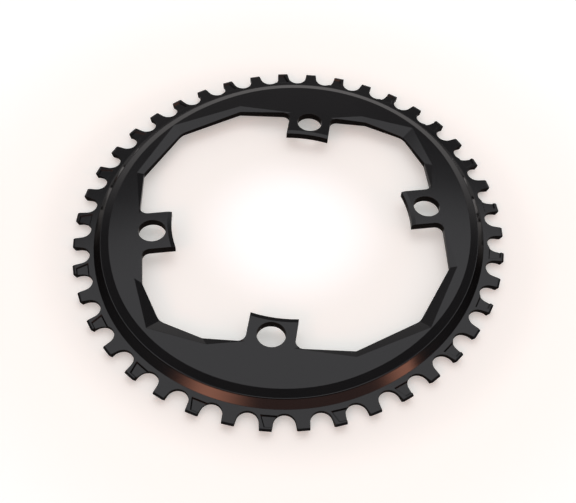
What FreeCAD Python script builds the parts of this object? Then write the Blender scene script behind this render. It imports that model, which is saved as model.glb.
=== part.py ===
import FreeCAD, Part
import Sketcher
import math
import os

# An oval bicycle chainring, machined from one aluminium plate: a toothed band that steps up
# to a raised web, four bolt tabs reaching inwards, and four many-sided windows between them.
# It lies on the back of its teeth. The z axis is the axis of the bolt circle, the x axis halves
# the narrower angle between two bolt holes, and z = 0 is the back face of the toothed band.

SIZES = [
    # the chain line: an oval of four arcs, as long round as a circle with the same teeth;
    # the ovality is how much longer than wide it is, the turn where its long end lies
    ("chain_pitch", 12.7),
    ("tooth_count", 42),
    ("ovality", 14.0),
    ("oval_turn", 22.3),
    ("tooth_lead", -0.02),
    # the tooth form
    ("seat_radius", 3.9),
    ("seat_relief_run", 1.2),
    ("seat_relief_rise", 2.0),
    ("flank_slant", 11.0),
    ("tip_rise", 2.5),
    ("tip_round", 0.5),
    ("tip_front_run", 0.7),
    ("tip_front_rise", 0.3),
    ("tip_back_run", 1.6),
    ("tip_edge", 0.3),
    # the narrow teeth: flat at the back, and a recess in the front that leaves the tip and one side
    ("narrow_tip_rise", 2.7),
    ("narrow_root", 0.7),
    ("narrow_back_recess", 0.8),
    ("recess_depth", 0.6),
    ("recess_wall_run", 0.4),
    ("recess_tip_margin", 1.2),
    ("recess_root_side", 2.2),
    ("recess_tip_side", 0.6),
    # the section from the tooth seats inwards
    ("band_thickness", 3.4),
    ("band_width", 1.5),
    ("wall_run", 2.65),
    ("wall_rise", 2.35),
    ("step_rise", 0.45),
    ("ledge_run", 0.25),
    ("slope_run", 3.05),
    ("slope_rise", 1.1),
    ("web_thickness", 3.0),
    ("dish_margin", 5.4),
    ("dish_run", 2.0),
    # the bolt tabs: the metal left beside and inside each hole, and how far out the tab's sides run
    ("bolt_circle_radius", 55.0),
    ("bolt_half_angle", 36.5),
    ("bolt_hole_radius", 5.3),
    ("tab_side_wall", 3.6),
    ("tab_end_wall", 2.2),
    ("tab_root_reach", 4.4),
    ("tab_root_round", 3.0),
    ("tab_bevel_run", 1.6),
    ("tab_bevel_rise", 0.35),
    # the windows, each mirrored about its own middle
    ("side_apex", 68.7),
    ("side_corner_x", 62.7),
    ("side_corner_y", 16.6),
    ("cross_apex", 65.8),
    ("cross_corner_x", 27.0),
    ("cross_corner_y", 58.2),
    ("apex_round", 6.0),
    ("corner_round", 1.5),
    # the facets that thin the web round the windows
    ("facet_depth", 0.8),
    ("side_facet_apex", 74.6),
    ("side_facet_x", 63.7),
    ("side_facet_y", 19.8),
    ("cross_facet_apex", 70.6),
    ("cross_facet_x", 29.0),
    ("cross_facet_y", 60.1),
    # how far a cut runs past the face or edge it opens
    ("overrun", 1.0),
    ("facet_overrun", 6.0),
]

QUARTER = math.pi / 2
Z_AXIS = FreeCAD.Vector(0, 0, 1)

# which of x and y are mirrored, quadrant by quadrant round the ring
QUADRANTS = ((False, False), (True, False), (True, True), (False, True))

doc = FreeCAD.newDocument("chainring")


def make_sheet():
    sheet = doc.addObject("Spreadsheet::Sheet", "sizes")
    for row, (name, value) in enumerate(SIZES, start=1):
        sheet.set("A%d" % row, name)
        sheet.set("B%d" % row, str(value))
        sheet.setAlias("B%d" % row, name)
    doc.recompute()
    return sheet


sheet = make_sheet()


def size(name):
    return float(sheet.get(name))


def mean_radius():
    return size("chain_pitch") / (2 * math.sin(math.pi / size("tooth_count")))


def oval_radii():
    """Radii of the sharper arcs at the long ends and of the flatter arcs on the short sides."""
    change = size("ovality") / (4 * (math.sqrt(2) - 1))
    return mean_radius() - change, mean_radius() + change


def oval_arcs():
    """Centre, radius and first angle of the four quarter-turn arcs, which meet tangentially."""
    end_radius, side_radius = oval_radii()
    shift = (side_radius - end_radius) / math.sqrt(2)
    arcs = []
    for turn in range(4):
        is_end = turn % 2 == 0
        radius = end_radius if is_end else side_radius
        reach = shift if is_end else -shift
        middle = turn * QUARTER
        centre = FreeCAD.Vector(reach * math.cos(middle), reach * math.sin(middle), 0)
        arcs.append((centre, radius, middle - QUARTER / 2))
    return arcs


def chain_line_place(run):
    """Place on the chain line, a run of arc length away from its long end, y axis outwards."""
    arcs = oval_arcs()
    total = sum(radius * QUARTER for _, radius, _ in arcs)
    left = (run + arcs[0][1] * QUARTER / 2) % total
    for centre, radius, first in arcs:
        if left <= radius * QUARTER:
            break
        left -= radius * QUARTER
    angle = first + left / radius
    point = centre + FreeCAD.Vector(radius * math.cos(angle), radius * math.sin(angle), 0)
    inner = FreeCAD.Placement(point, FreeCAD.Rotation(Z_AXIS, math.degrees(angle) - 90))
    turned = FreeCAD.Placement(FreeCAD.Vector(), FreeCAD.Rotation(Z_AXIS, size("oval_turn")))
    return turned.multiply(inner)


def tooth_place(number, share=0.0):
    """Place of a tooth, or of what lies a share of a pitch past it. Even teeth are wide."""
    arc_pitch = sum(oval_radii()) * math.pi / size("tooth_count")
    return chain_line_place((size("tooth_lead") + number + share) * arc_pitch)


def origin_plane(body, role):
    return [item for item in body.Origin.OriginFeatures if item.Role == role][0]


def new_sketch(body, name, role, height=None):
    sketch = body.newObject("Sketcher::SketchObject", name)
    sketch.AttachmentSupport = (origin_plane(body, role), [""])
    sketch.MapMode = "FlatFace"
    if height is not None:
        sketch.setExpression("AttachmentOffset.Base.z", height)
    return sketch


def oval_sketch(body, name, height, growth):
    """A closed oval, larger by the growth than the chain line."""
    sketch = new_sketch(body, name, "XY_Plane", height)
    sketch.setExpression("AttachmentOffset.Rotation.Angle", "sizes.oval_turn")
    for centre, radius, first in oval_arcs():
        circle = Part.Circle(centre, Z_AXIS, radius + growth)
        sketch.addGeometry(Part.ArcOfCircle(circle, first, first + QUARTER), False)
    return sketch


def pad_band(body):
    """The blank that the teeth are cut from, a little larger than the narrow teeth's tips."""
    pad = body.newObject("PartDesign::Pad", "band")
    pad.Profile = oval_sketch(body, "band_outline", "0 mm", size("narrow_tip_rise") + size("overrun"))
    pad.setExpression("Length", "sizes.band_thickness")
    doc.recompute()


def pad_web_layer(body, name, height, growth, rise, run=None):
    """A layer of the raised web, upright or drawn in by a run over its rise."""
    pad = body.newObject("PartDesign::Pad", name)
    pad.Profile = oval_sketch(body, name + "_outline", height, growth)
    pad.setExpression("Length", "sizes." + rise)
    if run:
        pad.setExpression("TaperAngle", "-atan(sizes.%s / sizes.%s)" % (run, rise))
    doc.recompute()


def pad_raised_web(body):
    """The steep wall inside the band, the fine step and ledge over it, and the slope to the web."""
    wall_foot = -size("seat_radius") - size("band_width")
    step_foot = wall_foot - size("wall_run")
    slope_foot = step_foot - size("ledge_run")
    wall_top = "sizes.band_thickness + sizes.wall_rise"
    pad_web_layer(body, "wall", "sizes.band_thickness", wall_foot, "wall_rise", "wall_run")
    pad_web_layer(body, "step", wall_top, step_foot, "step_rise")
    pad_web_layer(body, "slope", wall_top + " + sizes.step_rise", slope_foot, "slope_rise", "slope_run")


WEB_TOP = "(sizes.band_thickness + sizes.wall_rise + sizes.step_rise + sizes.slope_rise)"


def web_top():
    return size("band_thickness") + size("wall_rise") + size("step_rise") + size("slope_rise")


def cut_dish(body):
    """The recess in the back that leaves the web its own thickness."""
    pocket = body.newObject("PartDesign::Pocket", "dish")
    growth = -size("seat_radius") - size("dish_margin")
    pocket.Profile = oval_sketch(body, "dish_outline", "0 mm", growth)
    pocket.Reversed = True
    pocket.setExpression("Length", WEB_TOP + " - sizes.web_thickness")
    pocket.setExpression("TaperAngle", "-atan(sizes.dish_run / (%s - sizes.web_thickness))" % WEB_TOP)
    doc.recompute()


def tab_half_width():
    return size("bolt_hole_radius") + size("tab_side_wall")


def tab_end_radius():
    return size("bolt_circle_radius") - size("bolt_hole_radius") - size("tab_end_wall")


def tab_root_radius():
    return size("bolt_circle_radius") + size("tab_root_reach")


def tab_point(along, across):
    """A point of the tab in the first quarter, from the bolt circle's centre along its middle."""
    angle = math.radians(size("bolt_half_angle"))
    return FreeCAD.Vector(along * math.cos(angle) - across * math.sin(angle),
                          along * math.sin(angle) + across * math.cos(angle), 0)


def quarter_corners():
    """Corners and their roundings from the x axis to the y axis, round the first tab."""
    half = tab_half_width()
    end = math.sqrt(tab_end_radius() ** 2 - half ** 2)
    reach = tab_root_radius()
    root_round = size("tab_root_round")
    return [
        (FreeCAD.Vector(size("side_apex"), 0, 0), size("apex_round")),
        (FreeCAD.Vector(size("side_corner_x"), size("side_corner_y"), 0), size("corner_round")),
        (tab_point(reach, -half), root_round),
        (tab_point(end, -half), 0),
        (tab_point(end, half), 0),
        (tab_point(reach, half), root_round),
        (FreeCAD.Vector(size("cross_corner_x"), size("cross_corner_y"), 0), size("corner_round")),
        (FreeCAD.Vector(0, size("cross_apex"), 0), size("apex_round")),
    ]


def mirrored(point, in_x, in_y):
    return FreeCAD.Vector(-point.x if in_x else point.x, -point.y if in_y else point.y, point.z)


def inner_corners():
    """The quarter mirrored into all four, in order, with each apex once."""
    quarter = quarter_corners()
    ring = []
    for in_x, in_y in QUADRANTS:
        part = [(mirrored(point, in_x, in_y), round_off) for point, round_off in quarter]
        if in_x != in_y:
            part.reverse()
        ring += part[:-1]
    return ring


def rounded_outline(corners, closed_arc=None):
    """Lines and tangent arcs round the corners; closed_arc may bend the line between two."""
    count = len(corners)
    starts, ends, curves = [], [], []
    for number, (corner, radius) in enumerate(corners):
        before = (corners[number - 1][0] - corner).normalize()
        after = (corners[(number + 1) % count][0] - corner).normalize()
        half = before.getAngle(after) / 2
        reach = radius / math.tan(half)
        first, last = corner + before * reach, corner + after * reach
        starts.append(first)
        ends.append(last)
        if radius > 0:
            middle = (before + after).normalize() * (radius / math.sin(half) - radius)
            curves.append(Part.Arc(first, corner + middle, last))
    for number in range(count):
        first, last = ends[number], starts[(number + 1) % count]
        bent = closed_arc(first, last) if closed_arc else None
        curves.append(bent or Part.LineSegment(first, last))
    return curves


def tab_end_arc(first, last):
    """The hollow end of a tab, round the ring's axis, where both points lie on it."""
    radius = tab_end_radius()
    if max(abs(first.Length - radius), abs(last.Length - radius)) > 1e-6:
        return None
    middle = (first + last).normalize() * radius
    return Part.Arc(first, middle, last)


def cut_inside(body):
    """The four windows and the tabs between them, as one opening through the plate."""
    sketch = new_sketch(body, "inside_outline", "XY_Plane", "0 mm")
    for curve in rounded_outline(inner_corners(), tab_end_arc):
        sketch.addGeometry(curve, False)
    pocket = body.newObject("PartDesign::Pocket", "inside")
    pocket.Profile = sketch
    pocket.Reversed = True
    pocket.setExpression("Length", WEB_TOP + " + sizes.overrun")
    doc.recompute()


def cut_bolt_holes(body):
    sketch = new_sketch(body, "bolt_circles", "XY_Plane", "0 mm")
    hole = tab_point(size("bolt_circle_radius"), 0)
    for in_x, in_y in QUADRANTS:
        centre = mirrored(hole, in_x, in_y)
        circle = Part.Circle(centre, Z_AXIS, size("bolt_hole_radius"))
        number = sketch.addGeometry(circle, False)
        radius = sketch.addConstraint(Sketcher.Constraint("Radius", number, circle.Radius))
        sketch.setExpression("Constraints[%d]" % radius, "sizes.bolt_hole_radius")
    pocket = body.newObject("PartDesign::Pocket", "bolt_holes")
    pocket.Profile = sketch
    pocket.Reversed = True
    pocket.setExpression("Length", WEB_TOP + " + sizes.overrun")
    doc.recompute()


def cut_tab_bevels(body):
    """The shallow bevel on the hollow end of each tab, turned about the ring's axis."""
    sketch = new_sketch(body, "tab_bevel_section", "XZ_Plane")
    top = web_top()
    over = top + size("overrun")
    slant = size("tab_bevel_rise") / size("tab_bevel_run")
    inner = tab_end_radius() - size("overrun")
    outer = tab_end_radius() + size("tab_bevel_run")
    corners = [
        FreeCAD.Vector(outer, top, 0),
        FreeCAD.Vector(outer, over, 0),
        FreeCAD.Vector(inner, over, 0),
        FreeCAD.Vector(inner, top - slant * (outer - inner), 0),
    ]
    for number, corner in enumerate(corners):
        sketch.addGeometry(Part.LineSegment(corner, corners[(number + 1) % len(corners)]), False)
    groove = body.newObject("PartDesign::Groove", "tab_bevels")
    groove.Profile = sketch
    groove.ReferenceAxis = (sketch, ["V_Axis"])
    groove.Angle = 360
    doc.recompute()


def flat_prism(lower, upper):
    """A solid between two flat outlines with as many corners, one above the other."""
    faces = [Part.Face(Part.makePolygon(outline + outline[:1])) for outline in (lower, upper)]
    for number in range(len(lower)):
        after = (number + 1) % len(lower)
        side = [lower[number], lower[after], upper[after], upper[number], lower[number]]
        faces.append(Part.Face(Part.makePolygon(side)))
    return Part.makeSolid(Part.makeShell(faces))


def slanted_cutter(outline, plane, top):
    """What lies over a slanted plane, given by three points, inside a plan outline."""
    normal = (plane[1] - plane[0]).cross(plane[2] - plane[0])
    lower = []
    for point in outline:
        drop = (point - plane[0]).x * normal.x + (point - plane[0]).y * normal.y
        lower.append(FreeCAD.Vector(point.x, point.y, plane[0].z - drop / normal.z))
    upper = [FreeCAD.Vector(point.x, point.y, top) for point in outline]
    return flat_prism(lower, upper)


def mirror_x(point):
    return mirrored(point, True, False)


def gap_side(rise):
    """Points up the right-hand flank of a tooth space, to over a tooth of the given rise."""
    seat = size("seat_radius")
    slant = math.radians(size("flank_slant"))
    half_tip = (seat + rise * math.sin(slant)) / math.cos(slant)
    setback = size("tip_round") * math.tan((QUARTER - slant) / 2)
    foot = FreeCAD.Vector(seat * math.cos(slant), -seat * math.sin(slant), 0)
    flank_end = FreeCAD.Vector(half_tip - setback * math.sin(slant), rise - setback * math.cos(slant), 0)
    tip = FreeCAD.Vector(half_tip + setback, rise, 0)
    centre = FreeCAD.Vector(tip.x, tip.y - size("tip_round"), 0)
    halfway = (flank_end + tip) * 0.5 - centre
    crown = centre + halfway.normalize() * size("tip_round")
    top = FreeCAD.Vector(tip.x, size("narrow_tip_rise") + 2 * size("overrun"), 0)
    return foot, flank_end, crown, tip, top


def gap_cutter(right_rise, left_rise):
    """One tooth space: a roller seat, slanted flanks and rounded tips, relieved at the back."""
    seat = size("seat_radius")
    foot, flank_end, crown, tip, top = gap_side(right_rise)
    left = [mirror_x(point) for point in gap_side(left_rise)]
    left_foot, left_end, left_crown, left_tip, left_top = left
    curves = [
        Part.Arc(left_foot, FreeCAD.Vector(0, -seat, 0), foot),
        Part.LineSegment(foot, flank_end),
        Part.Arc(flank_end, crown, tip),
        Part.LineSegment(tip, top),
        Part.LineSegment(top, left_top),
        Part.LineSegment(left_top, left_tip),
        Part.Arc(left_tip, left_crown, left_end),
        Part.LineSegment(left_end, left_foot),
    ]
    wire = Part.Wire([curve.toShape() for curve in curves])
    space = Part.Face(wire).extrude(Z_AXIS * (size("band_thickness") + 2 * size("overrun")))
    space.translate(-Z_AXIS * size("overrun"))
    relief = Part.makeCone(seat + size("seat_relief_run"), seat, size("seat_relief_rise"))
    return space.fuse(relief)


def across_tooth(section):
    """A prism over the width of one tooth; its section is points of distance outwards and height."""
    reach = size("chain_pitch") / 2 - size("overrun")
    sides = [[FreeCAD.Vector(x, out, height) for out, height in section] for x in (-reach, reach)]
    return flat_prism(*sides)


def tip_cutter(rise):
    """What lies outside a tooth's tip: a gentle bevel in front, a thin edge and a long bevel behind."""
    over = size("band_thickness") + size("overrun")
    clear = size("narrow_tip_rise") + 2 * size("overrun")
    front_start = rise - size("tip_front_run")
    back_start = rise - size("tip_back_run")
    edge_top = size("band_thickness") - size("tip_front_rise")
    return across_tooth([
        (front_start, size("band_thickness")),
        (front_start, over),
        (clear, over),
        (clear, -size("overrun")),
        (back_start, -size("overrun")),
        (back_start, 0),
        (rise, edge_top - size("tip_edge")),
        (rise, edge_top),
    ])


def narrow_root():
    return size("narrow_root") - size("seat_radius")


def recess_outline(inset, height):
    """Outline of the recess in a narrow tooth's front, drawn in by an inset, open to the left flank."""
    root = narrow_root()
    tip = size("narrow_tip_rise") - size("recess_tip_margin")
    open_side = size("overrun") - size("chain_pitch") / 2
    slant = math.atan2(size("recess_root_side") - size("recess_tip_side"), tip - root)

    def side(out):
        return size("recess_root_side") - (out - root) * math.tan(slant) - inset / math.cos(slant)

    low, high = root + inset, tip - inset
    return [
        FreeCAD.Vector(open_side, low, height),
        FreeCAD.Vector(side(low), low, height),
        FreeCAD.Vector(side(high), high, height),
        FreeCAD.Vector(open_side, high, height),
    ]


def narrow_front_cutter():
    """The recess in the front of a narrow tooth, with slanted walls."""
    depth = size("recess_depth")
    spread = size("recess_wall_run") * size("overrun") / depth
    return flat_prism(recess_outline(size("recess_wall_run"), size("band_thickness") - depth),
                      recess_outline(-spread, size("band_thickness") + size("overrun")))


def narrow_back_cutter():
    """The back of a narrow tooth: a plain flat recess."""
    clear = size("narrow_tip_rise") + 2 * size("overrun")
    depth = size("narrow_back_recess")
    return across_tooth([
        (narrow_root(), -size("overrun")),
        (clear, -size("overrun")),
        (clear, depth),
        (narrow_root(), depth),
    ])


def placed_copies(shape, places):
    copies = []
    for place in places:
        copy = shape.copy()
        copy.Placement = place
        copies.append(copy)
    return Part.makeCompound(copies)


def add_shape(name, shape):
    feature = doc.addObject("Part::Feature", name)
    feature.Shape = shape
    return feature


def facet_cutters(apex, corner, reach, facet_apex, facet_corner):
    """The two flat facets of half a window: corner to apex, and corner to the tab."""
    top = FreeCAD.Vector(0, 0, web_top())
    deep = corner + top - Z_AXIS * size("facet_depth")
    inside = corner + (corner - facet_corner).normalize() * size("facet_overrun")
    inner_apex = apex - FreeCAD.Vector(apex).normalize() * size("facet_overrun")
    over = web_top() + size("overrun")
    long_facet = slanted_cutter([facet_corner, facet_apex, inner_apex, inside],
                                [facet_corner + top, facet_apex + top, deep], over)
    short_facet = slanted_cutter([facet_corner, inside, reach],
                                 [facet_corner + top, reach + top, deep], over)
    return [long_facet, short_facet]


def window_facets():
    half = tab_half_width()
    side = facet_cutters(
        FreeCAD.Vector(size("side_apex"), 0, 0),
        FreeCAD.Vector(size("side_corner_x"), size("side_corner_y"), 0),
        tab_point(tab_root_radius(), -half),
        FreeCAD.Vector(size("side_facet_apex"), 0, 0),
        FreeCAD.Vector(size("side_facet_x"), size("side_facet_y"), 0))
    cross = facet_cutters(
        FreeCAD.Vector(0, size("cross_apex"), 0),
        FreeCAD.Vector(size("cross_corner_x"), size("cross_corner_y"), 0),
        tab_point(tab_root_radius(), half),
        FreeCAD.Vector(0, size("cross_facet_apex"), 0),
        FreeCAD.Vector(size("cross_facet_x"), size("cross_facet_y"), 0))
    cutters = []
    for solid in side + cross:
        other = solid.mirror(FreeCAD.Vector(), FreeCAD.Vector(1, 0, 0))
        cutters += [solid, other]
        cutters += [item.mirror(FreeCAD.Vector(), FreeCAD.Vector(0, 1, 0)) for item in (solid, other)]
    return Part.makeCompound(cutters)


def cut(name, base, tool):
    result = doc.addObject("Part::Cut", name)
    result.Base = base
    result.Tool = tool
    doc.recompute()
    return result


def make_plate():
    body = doc.addObject("PartDesign::Body", "plate")
    pad_band(body)
    pad_raised_web(body)
    cut_dish(body)
    cut_inside(body)
    cut_bolt_holes(body)
    cut_tab_bevels(body)
    return body


def cut_teeth(plate):
    """Tooth spaces at every pitch, and the tips between them; every second tooth is narrowed."""
    wide = range(0, int(size("tooth_count")), 2)
    narrow = range(1, int(size("tooth_count")), 2)
    wide_tip, narrow_tip = size("tip_rise"), size("narrow_tip_rise")
    cuts = [
        ("gaps_after_wide", gap_cutter(wide_tip, narrow_tip), wide, 0.5),
        ("gaps_after_narrow", gap_cutter(narrow_tip, wide_tip), narrow, 0.5),
        ("wide_tips", tip_cutter(wide_tip), wide, 0.0),
        ("narrow_fronts", narrow_front_cutter(), narrow, 0.0),
        ("narrow_backs", narrow_back_cutter(), narrow, 0.0),
        ("narrow_tips", tip_cutter(narrow_tip), narrow, 0.0),
    ]
    toothed = plate
    for name, cutter, teeth, share in cuts:
        tool = add_shape(name, placed_copies(cutter, [tooth_place(number, share) for number in teeth]))
        toothed = cut("plate_less_" + name, toothed, tool)
    return toothed


plate = make_plate()
toothed = cut_teeth(plate)
chainring = cut("faceted_plate", toothed, add_shape("facets", window_facets()))
chainring.Label = "chainring"
doc.recompute()

for item in doc.Objects:
    if "Invalid" in item.State or "Error" in item.State:
        raise RuntimeError("%s did not build: %s" % (item.Name, item.State))
if chainring.Shape.isNull() or not chainring.Shape.isValid():
    raise RuntimeError("the chainring's shape is not valid")

os.makedirs("parts", exist_ok=True)
chainring.Shape.exportStep("parts/%s.step" % chainring.Label)
box = chainring.Shape.BoundBox
print("chainring: %d solid(s), %.1f mm3, %.2f x %.2f x %.2f mm" % (
    len(chainring.Shape.Solids), chainring.Shape.Volume, box.XLength, box.YLength, box.ZLength))
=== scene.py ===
import bmesh
import bpy
import math
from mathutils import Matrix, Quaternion, Vector

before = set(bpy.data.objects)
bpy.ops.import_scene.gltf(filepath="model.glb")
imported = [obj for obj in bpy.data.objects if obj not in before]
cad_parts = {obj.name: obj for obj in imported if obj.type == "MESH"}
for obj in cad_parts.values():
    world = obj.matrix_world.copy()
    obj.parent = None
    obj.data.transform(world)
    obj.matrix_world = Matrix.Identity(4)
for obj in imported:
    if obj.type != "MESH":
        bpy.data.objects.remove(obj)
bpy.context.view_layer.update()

# The ring lies on its teeth on a white table. Metres, with z up; the ring's axis is the z axis.

# the camera, solved from the teeth and the bolt holes
LOOK_AT = Vector((-0.01142, -0.00902, 0.0043))
VIEW_AZIMUTH = math.radians(220.77)
VIEW_ELEVATION = math.radians(52.06)
VIEW_DISTANCE = 0.34195
VIEW_ROLL = math.radians(4.741)
LENS_MM = 55.18
SENSOR_MM = 36.0
NEAR_CLIP = 0.01

# the black anodised skin: its dye and a paler cloud in it, and a grain finer than the eye sees
ANODISE = (0.0035, 0.0034, 0.0036, 1.0)
ANODISE_PALE = (0.0060, 0.0058, 0.0060, 1.0)
CLOUD_SCALE = 60.0
CLOUD_DETAIL = 4.0
SHEEN_DARK = 0.11
SHEEN_PALE = 0.16
GRAIN_SCALE = 4000.0
GRAIN_DETAIL = 2.0
GRAIN_STRENGTH = 0.12
GRAIN_DEPTH = 0.00002
EDGE_ROUND = 0.00016
EDGE_SAMPLES = 6
SKIN_IOR = 1.5

# the light that the ring mirrors, by where it comes from
WINDOW_LIGHT = (0.90, 0.90, 0.93)
WINDOW_TILT = -0.095
GLOW_LIGHT = (0.15, 0.14, 0.14)
HORIZON_LIGHT = (0.70, 0.67, 0.66)
ROOM_LIGHT = (0.12, 0.12, 0.13)
TABLE_MIRROR_LIGHT = (0.05, 0.04, 0.035)
COPPER_LIGHT = (0.36, 0.15, 0.11)
STREAK_LIGHT = (4.80, 1.95, 1.25)

# the lamps that light the table, which the ring doesn't mirror
LAMP_DISTANCE = 1.2
TOP_LAMP_ELEVATION = math.radians(80)
TOP_LAMP_WIDTH = 4.0
TOP_LAMP_POWER = 9.5
TOP_LAMP_COLOUR = (0.94, 1.0, 1.0)
SIDE_LAMPS = 4
SIDE_LAMP_ELEVATION = math.radians(30)
SIDE_LAMP_WIDTH = 1.6
SIDE_LAMP_POWER = 1.7
SIDE_LAMP_COLOUR = (1.0, 0.98, 0.94)

# the table: half its width, and its tones from the ring's axis out to the tones' reach; the warm, darker band of
# tones under the ring is painted shade, the ring's soft shadow on the table
TABLE_HALF = 3.0
TABLE_ROUGHNESS = 0.6
TABLE_GLOW = 0.42
TABLE_WHITE = (0.985, 0.985, 0.985, 1.0)
# painted shade: the warm, darker tone under the ring, and a half shade where it fades back to white
TABLE_PAINTED_SHADE = (0.850, 0.842, 0.815, 1.0)
TABLE_PAINTED_HALF_SHADE = (0.930, 0.920, 0.890, 1.0)
TONE_REACH = 0.2
FIRST_TONE = (0.08, TABLE_WHITE)
PAINTED_SHADE_TONES = ((0.22, TABLE_PAINTED_SHADE), (0.45, TABLE_PAINTED_SHADE), (0.54, TABLE_PAINTED_HALF_SHADE))
LAST_TONE = (0.85, TABLE_WHITE)

# the backdrop, a little inside the table's edge
BACKDROP_RADIUS = 2.9
BACKDROP_HEIGHT = 2.4
BACKDROP_SIDES = 96
BACKDROP_TONE = (0.90, 0.89, 0.88, 1.0)
NO_COLOUR = (0.0, 0.0, 0.0, 1.0)


def direction(azimuth, elevation):
    """Unit vector at an azimuth from +X and an elevation over the table."""
    level = math.cos(elevation)
    return Vector((level * math.cos(azimuth), level * math.sin(azimuth), math.sin(elevation)))


def place_camera():
    towards = direction(VIEW_AZIMUTH, VIEW_ELEVATION)
    lens = bpy.data.cameras.new("camera")
    lens.lens = LENS_MM
    lens.sensor_width = SENSOR_MM
    lens.sensor_fit = "HORIZONTAL"
    lens.clip_start = NEAR_CLIP
    camera = bpy.data.objects.new("camera", lens)
    camera.location = LOOK_AT + towards * VIEW_DISTANCE
    camera.rotation_mode = "QUATERNION"
    camera.rotation_quaternion = towards.to_track_quat("Z", "Y") @ Quaternion((0, 0, 1), VIEW_ROLL)
    bpy.context.scene.collection.objects.link(camera)
    bpy.context.scene.camera = camera


def new_material(name):
    """A material with its nodes, links and principled shader."""
    material = bpy.data.materials.new(name)
    material.use_nodes = True
    nodes = material.node_tree.nodes
    return material, nodes, material.node_tree.links, nodes["Principled BSDF"]


def black_anodised():
    """Satin black anodised aluminium: a faint cloud in the dye, a fine grain and softened edges."""
    material, nodes, links, skin = new_material("black anodised aluminium")
    place = nodes.new("ShaderNodeTexCoord")

    cloud = nodes.new("ShaderNodeTexNoise")
    cloud.inputs["Scale"].default_value = CLOUD_SCALE
    cloud.inputs["Detail"].default_value = CLOUD_DETAIL
    links.new(place.outputs["Object"], cloud.inputs["Vector"])
    dye = nodes.new("ShaderNodeValToRGB")
    dye.color_ramp.elements[0].color = ANODISE
    dye.color_ramp.elements[1].color = ANODISE_PALE
    links.new(cloud.outputs["Fac"], dye.inputs["Fac"])
    links.new(dye.outputs["Color"], skin.inputs["Base Color"])

    sheen = nodes.new("ShaderNodeMapRange")
    sheen.inputs["To Min"].default_value = SHEEN_DARK
    sheen.inputs["To Max"].default_value = SHEEN_PALE
    links.new(cloud.outputs["Fac"], sheen.inputs["Value"])
    links.new(sheen.outputs["Result"], skin.inputs["Roughness"])

    grain = nodes.new("ShaderNodeTexNoise")
    grain.inputs["Scale"].default_value = GRAIN_SCALE
    grain.inputs["Detail"].default_value = GRAIN_DETAIL
    links.new(place.outputs["Object"], grain.inputs["Vector"])
    edge = nodes.new("ShaderNodeBevel")
    edge.samples = EDGE_SAMPLES
    edge.inputs["Radius"].default_value = EDGE_ROUND
    bump = nodes.new("ShaderNodeBump")
    bump.inputs["Strength"].default_value = GRAIN_STRENGTH
    bump.inputs["Distance"].default_value = GRAIN_DEPTH
    links.new(grain.outputs["Fac"], bump.inputs["Height"])
    links.new(edge.outputs["Normal"], bump.inputs["Normal"])
    links.new(bump.outputs["Normal"], skin.inputs["Normal"])

    skin.inputs["Metallic"].default_value = 0.0
    skin.inputs["IOR"].default_value = SKIN_IOR
    return material


def dress_ring():
    skin = black_anodised()
    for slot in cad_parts["chainring"].material_slots:
        slot.material = skin


def white_table():
    """White in the middle, a warm, darker band of painted shade under the ring and white again further out, with a
    weak glow, painted light that softens shadows.
    """
    material, nodes, links, skin = new_material("white table")
    place = nodes.new("ShaderNodeTexCoord")
    reach = nodes.new("ShaderNodeVectorMath")
    reach.operation = "LENGTH"
    links.new(place.outputs["Object"], reach.inputs[0])
    share = nodes.new("ShaderNodeMapRange")
    share.inputs["From Max"].default_value = TONE_REACH
    links.new(reach.outputs["Value"], share.inputs["Value"])
    tone_with_painted_shade = nodes.new("ShaderNodeValToRGB")
    tone_with_painted_shade.color_ramp.interpolation = "EASE"
    stops = tone_with_painted_shade.color_ramp.elements
    stops[0].position, stops[0].color = FIRST_TONE
    stops[1].position, stops[1].color = LAST_TONE
    # the middle tones paint the ring's soft shadow on the table as a warm, darker band
    for position, colour in PAINTED_SHADE_TONES:
        stops.new(position).color = colour
    links.new(share.outputs["Result"], tone_with_painted_shade.inputs["Fac"])
    links.new(tone_with_painted_shade.outputs["Color"], skin.inputs["Base Color"])
    # the table glows in its own tones: painted light that lightens the shadow round the ring
    links.new(tone_with_painted_shade.outputs["Color"], skin.inputs["Emission Color"])
    skin.inputs["Emission Strength"].default_value = TABLE_GLOW
    skin.inputs["Roughness"].default_value = TABLE_ROUGHNESS
    return material


def lay_table():
    """A wide square table top at z = 0, which the ring doesn't mirror."""
    mesh = bpy.data.meshes.new("table")
    corners = [(-1, -1), (1, -1), (1, 1), (-1, 1)]
    mesh.from_pydata([(x * TABLE_HALF, y * TABLE_HALF, 0.0) for x, y in corners], [], [(0, 1, 2, 3)])
    table = bpy.data.objects.new("table", mesh)
    mesh.materials.append(white_table())
    table.visible_glossy = False
    bpy.context.scene.collection.objects.link(table)


def hang_backdrop():
    """A pale round wall at the table's edge, which only the camera sees."""
    material, _, _, skin = new_material("pale backdrop")
    skin.inputs["Base Color"].default_value = NO_COLOUR
    skin.inputs["Emission Color"].default_value = BACKDROP_TONE
    skin.inputs["Emission Strength"].default_value = 1.0
    wall = bmesh.new()
    bmesh.ops.create_cone(wall, cap_ends=False, segments=BACKDROP_SIDES, depth=BACKDROP_HEIGHT,
                          radius1=BACKDROP_RADIUS, radius2=BACKDROP_RADIUS)
    bmesh.ops.translate(wall, verts=wall.verts, vec=(0.0, 0.0, BACKDROP_HEIGHT / 2))
    mesh = bpy.data.meshes.new("backdrop")
    wall.to_mesh(mesh)
    wall.free()
    mesh.materials.append(material)
    backdrop = bpy.data.objects.new("backdrop", mesh)
    backdrop.visible_diffuse = False
    backdrop.visible_glossy = False
    backdrop.visible_transmission = False
    backdrop.visible_shadow = False
    bpy.context.scene.collection.objects.link(backdrop)


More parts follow.
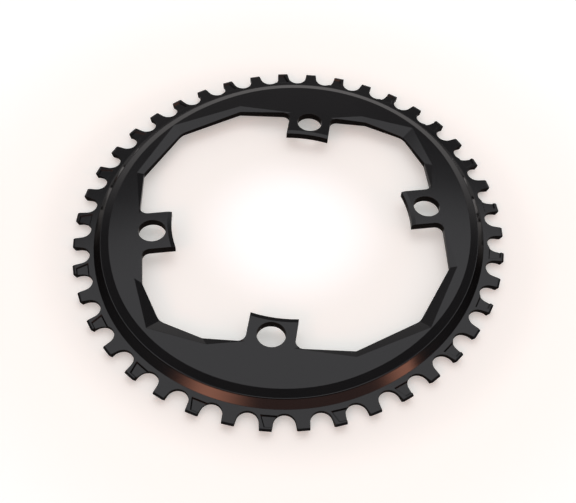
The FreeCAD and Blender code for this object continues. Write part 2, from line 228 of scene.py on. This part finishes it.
def fade(nodes, links, value, start, stop):
    """Rises smoothly from 0 to 1 as a value goes from start to stop, up or down."""
    ramp = nodes.new("ShaderNodeMapRange")
    ramp.interpolation_type = "SMOOTHSTEP"
    ramp.inputs["From Min"].default_value = min(start, stop)
    ramp.inputs["From Max"].default_value = max(start, stop)
    ramp.inputs["To Min"].default_value = 0.0 if start < stop else 1.0
    ramp.inputs["To Max"].default_value = 1.0 if start < stop else 0.0
    links.new(value, ramp.inputs["Value"])
    return ramp.outputs["Result"]


def patch(nodes, links, fades, colour):
    """A patch of coloured light where all of its fades are high."""
    strength = fades[0]
    for other in fades[1:]:
        both = nodes.new("ShaderNodeMath")
        both.operation = "MULTIPLY"
        links.new(strength, both.inputs[0])
        links.new(other, both.inputs[1])
        strength = both.outputs["Value"]
    light = nodes.new("ShaderNodeVectorMath")
    light.operation = "SCALE"
    light.inputs[0].default_value = colour
    links.new(strength, light.inputs["Scale"])
    return light.outputs["Vector"]


def light_room():
    """A dark room with a pale horizon, a window from behind the ring to overhead, and copper light in front.

    The world's direction is split into how far it leads away from the camera, to the left and up, each from -1 to 1.
    Each patch of light is a colour with the spans over which it comes up to full strength.
    """
    world = bpy.data.worlds.new("studio")
    world.use_nodes = True
    bpy.context.scene.world = world
    nodes, links = world.node_tree.nodes, world.node_tree.links
    turn = nodes.new("ShaderNodeMapping")
    turn.inputs["Rotation"].default_value[2] = math.pi - VIEW_AZIMUTH
    links.new(nodes.new("ShaderNodeTexCoord").outputs["Generated"], turn.inputs["Vector"])
    parts = nodes.new("ShaderNodeSeparateXYZ")
    links.new(turn.outputs["Vector"], parts.inputs["Vector"])
    away, left, height = parts.outputs["X"], parts.outputs["Y"], parts.outputs["Z"]

    def lit(colour, *spans):
        return patch(nodes, links, [fade(nodes, links, *span) for span in spans], colour)

    # the height over the window's sill, which is tilted
    sill = nodes.new("ShaderNodeMath")
    sill.operation = "MULTIPLY_ADD"
    links.new(left, sill.inputs[0])
    sill.inputs[1].default_value = WINDOW_TILT
    links.new(height, sill.inputs[2])
    over_sill = sill.outputs["Value"]

    lights = [
        lit(WINDOW_LIGHT, (over_sill, 0.732, 0.756), (left, -0.46, -0.36),
            (left, 0.46, 0.36), (away, 0.0, 0.1)),
        lit(GLOW_LIGHT, (height, 0.56, 0.62), (over_sill, 0.71, 0.68), (left, -0.20, -0.05), (away, 0.4, 0.6)),
        lit(HORIZON_LIGHT, (height, 0.55, 0.28), (away, 0.45, 0.85)),
        lit(ROOM_LIGHT, (height, 0.0, 0.45)),
        lit(TABLE_MIRROR_LIGHT, (height, 0.02, -0.04)),
        # the copper light, with a bright streak near each end
        lit(COPPER_LIGHT, (height, 0.28, 0.34), (height, 0.72, 0.64), (left, -0.89, -0.865),
            (left, 0.72, 0.66), (away, -0.14, -0.24)),
        lit(STREAK_LIGHT, (height, 0.42, 0.47), (height, 0.66, 0.60), (left, 0.05, 0.45),
            (left, 0.68, 0.45), (away, -0.40, -0.50)),
        lit(STREAK_LIGHT, (height, 0.26, 0.32), (height, 0.52, 0.46), (left, -0.72, -0.87),
            (left, -0.89, -0.865), (away, -0.14, -0.24)),
    ]
    total = lights[0]
    for light in lights[1:]:
        added = nodes.new("ShaderNodeVectorMath")
        added.operation = "ADD"
        links.new(total, added.inputs[0])
        links.new(light, added.inputs[1])
        total = added.outputs["Vector"]
    links.new(total, nodes["Background"].inputs["Color"])


def hang_lamp(name, azimuth, elevation, width, power, colour):
    """A square soft lamp that aims at the ring and doesn't mirror in it."""
    lamp = bpy.data.lights.new(name, "AREA")
    lamp.shape = "SQUARE"
    lamp.size = width
    lamp.energy = power
    lamp.color = colour
    towards = direction(azimuth, elevation)
    hung = bpy.data.objects.new(name, lamp)
    hung.location = towards * LAMP_DISTANCE
    hung.rotation_mode = "QUATERNION"
    hung.rotation_quaternion = towards.to_track_quat("Z", "Y")
    hung.visible_glossy = False
    bpy.context.scene.collection.objects.link(hung)


def light_table():
    """A wide lamp almost overhead, and low lamps all round."""
    hang_lamp("top lamp", VIEW_AZIMUTH - math.pi, TOP_LAMP_ELEVATION, TOP_LAMP_WIDTH, TOP_LAMP_POWER, TOP_LAMP_COLOUR)
    for turn in range(SIDE_LAMPS):
        hang_lamp("side lamp %d" % (turn + 1), VIEW_AZIMUTH + turn * math.tau / SIDE_LAMPS, SIDE_LAMP_ELEVATION,
                  SIDE_LAMP_WIDTH, SIDE_LAMP_POWER, SIDE_LAMP_COLOUR)


place_camera()
dress_ring()
lay_table()
hang_backdrop()
light_room()
light_table()
bpy.context.scene.view_settings.view_transform = "Standard"
